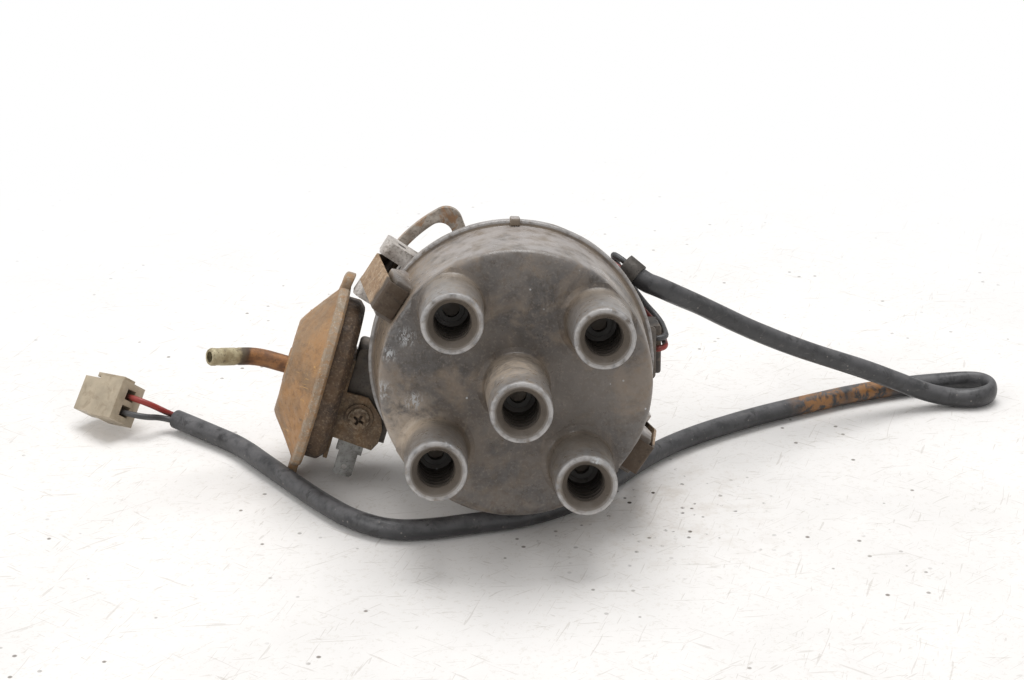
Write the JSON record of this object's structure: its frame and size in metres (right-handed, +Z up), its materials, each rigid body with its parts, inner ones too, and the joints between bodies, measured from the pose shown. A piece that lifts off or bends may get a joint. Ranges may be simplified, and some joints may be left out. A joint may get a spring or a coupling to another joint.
{
  "type": "ignition distributor",
  "caption": "Ignition distributor lying on its side: moulded cap with lead towers, spring clips, vacuum advance canister, slotted plate, and a sleeved two-wire lead with plug.",
  "frame": {"origin": "where the drive shaft's axis meets the underside of the slotted plate, the face that seats on the engine", "axes": "+Z up as it lies on a bench; the shaft's axis runs towards the cap along -Y, nose up 10 degrees; +X to the right seen from the cap"},
  "size_m": [0.3292, 0.1444, 0.0928],
  "materials": {
    "aluminium": "satin",
    "brass": "dull",
    "carbon": "matt",
    "cast_alloy": "cast, oxidised",
    "copper_coil": "wound coil",
    "dark_steel": "dark, oiled",
    "grey_insulation": "satin",
    "ground_steel": "ground",
    "ivory_plastic": "yellowed, dirty",
    "magnet": "ferrite",
    "module_plastic": "satin",
    "passivated_steel": "yellow passivated, rusted",
    "phenolic": "satin, dusty",
    "red_insulation": "satin",
    "rotor_plastic": "moulded",
    "rusty_steel": "rusted",
    "seal_rubber": "matt",
    "sintered": "sintered",
    "sleeve_pvc": "satin, dusty",
    "spring_steel": "drawn wire",
    "tarnished_steel": "speckled with rust",
    "zinc_steel": "dull zinc"
  },
  "bodies": {
    "distributor": {"fixing_plate": "zinc_steel", "fixing_plate_screws": "zinc_steel", "spigot_oring": "seal_rubber", "housing": "cast_alloy", "upper_bush": "sintered", "lower_bush": "sintered", "oil_seal": "seal_rubber", "cap": "phenolic", "cap_gasket": "seal_rubber", "cap_terminals": "aluminium", "centre_terminal": "aluminium", "brush_spring": "spring_steel", "clip_pins": "dark_steel", "thrust_washers": "dark_steel", "base_plate": "zinc_steel", "base_plate_screws": "zinc_steel", "canister_back": "rusty_steel", "canister_front": "rusty_steel", "diaphragm": "seal_rubber", "diaphragm_spring": "spring_steel", "nipple_tube": "passivated_steel", "vacuum_bracket": "rusty_steel", "earth_terminal": "tarnished_steel", "bracket_screw": "rusty_steel", "bracket_washer": "rusty_steel", "heat_sink": "cast_alloy", "ignition_module": "module_plastic", "module_screws": "zinc_steel", "lead_clamp": "dark_steel", "clamp_screw": "zinc_steel", "module_lead_grey": "grey_insulation", "module_lead_red": "red_insulation", "sleeve": "sleeve_pvc", "wire_red": "red_insulation", "wire_grey": "grey_insulation", "connector": "ivory_plastic", "connector_terminals": "brass"},
    "driveshaft": {"shaft": "ground_steel", "drive_dog": "dark_steel", "drive_pin": "ground_steel", "governor_plate": "zinc_steel", "governor_springs": "spring_steel", "sleeve_screw": "dark_steel"},
    "weight_a": {"weight_a": "zinc_steel"},
    "weight_b": {"weight_b": "zinc_steel"},
    "cam": {"cam_sleeve": "ground_steel", "reluctor": "dark_steel", "rotor_arm": "rotor_plastic", "rotor_electrode": "brass", "rotor_screw": "brass"},
    "pickup_plate": {"moving_plate": "zinc_steel", "pickup_magnet": "magnet", "pickup_coil": "copper_coil", "stator": "dark_steel", "stator_screws": "zinc_steel"},
    "vacuum_link": {"link_rod": "zinc_steel"},
    "brush": {"carbon_brush": "carbon"},
    "clip_upper": {"clip_upper": "passivated_steel"},
    "clip_lower": {"clip_lower": "passivated_steel"}
  },
  "joints": [
    {"name": "shaft_spin", "type": "hinge", "parent": "distributor", "child": "driveshaft", "pos_m": [0, 0, 0], "axis": [0, -0.9848, 0.1736], "continuous": true},
    {"name": "centrifugal_advance", "type": "hinge", "parent": "driveshaft", "child": "cam", "pos_m": [0, 0, 0], "axis": [0, -0.9848, 0.1736], "range_deg": [0, 12], "stiffness_Nm_per_rad": 0.05, "springref_deg": -5.73, "deforming": ["governor_springs"]},
    {"name": "weight_a_swing", "type": "hinge", "parent": "driveshaft", "child": "weight_a", "pos_m": [0.019, -0.00985, 0.00174], "axis": [0, -0.9848, 0.1736], "range_deg": [0, 8.2]},
    {"name": "weight_b_swing", "type": "hinge", "parent": "driveshaft", "child": "weight_b", "pos_m": [-0.019, -0.00985, 0.00174], "axis": [0, -0.9848, 0.1736], "range_deg": [0, 8.2]},
    {"name": "plate_turn", "type": "hinge", "parent": "distributor", "child": "pickup_plate", "pos_m": [0, 0, 0], "axis": [0, -0.9848, 0.1736], "range_deg": [-11, 0], "stiffness_Nm_per_rad": 0.08, "springref_deg": 5.73},
    {"name": "vacuum_pull", "type": "slide", "parent": "distributor", "child": "vacuum_link", "axis": [-0.9563, 0.0508, 0.2879], "range_m": [0, 0.00506], "deforming": ["diaphragm", "diaphragm_spring"]},
    {"name": "brush_press", "type": "slide", "parent": "distributor", "child": "brush", "axis": [0, -0.9848, 0.1736], "range_m": [0, 0.0015], "stiffness_N_per_m": 120, "springref_m": -0.002, "deforming": ["brush_spring"]},
    {"name": "clip_upper_open", "type": "hinge", "parent": "distributor", "child": "clip_upper", "pos_m": [-0.04033, -0.01905, 0.03016], "axis": [-0.5476, -0.1453, -0.8241], "range_deg": [0, 50]},
    {"name": "clip_lower_open", "type": "hinge", "parent": "distributor", "child": "clip_lower", "pos_m": [0.0401, -0.02828, -0.02217], "axis": [0.5548, 0.1445, 0.8193], "range_deg": [0, 50]}
  ],
  "couplings": [
    {"joint": "weight_a_swing", "follows": "centrifugal_advance", "ratio": 0.678},
    {"joint": "weight_b_swing", "follows": "centrifugal_advance", "ratio": 0.678},
    {"joint": "vacuum_pull", "follows": "plate_turn", "m_per_rad": -0.0263}
  ]
}
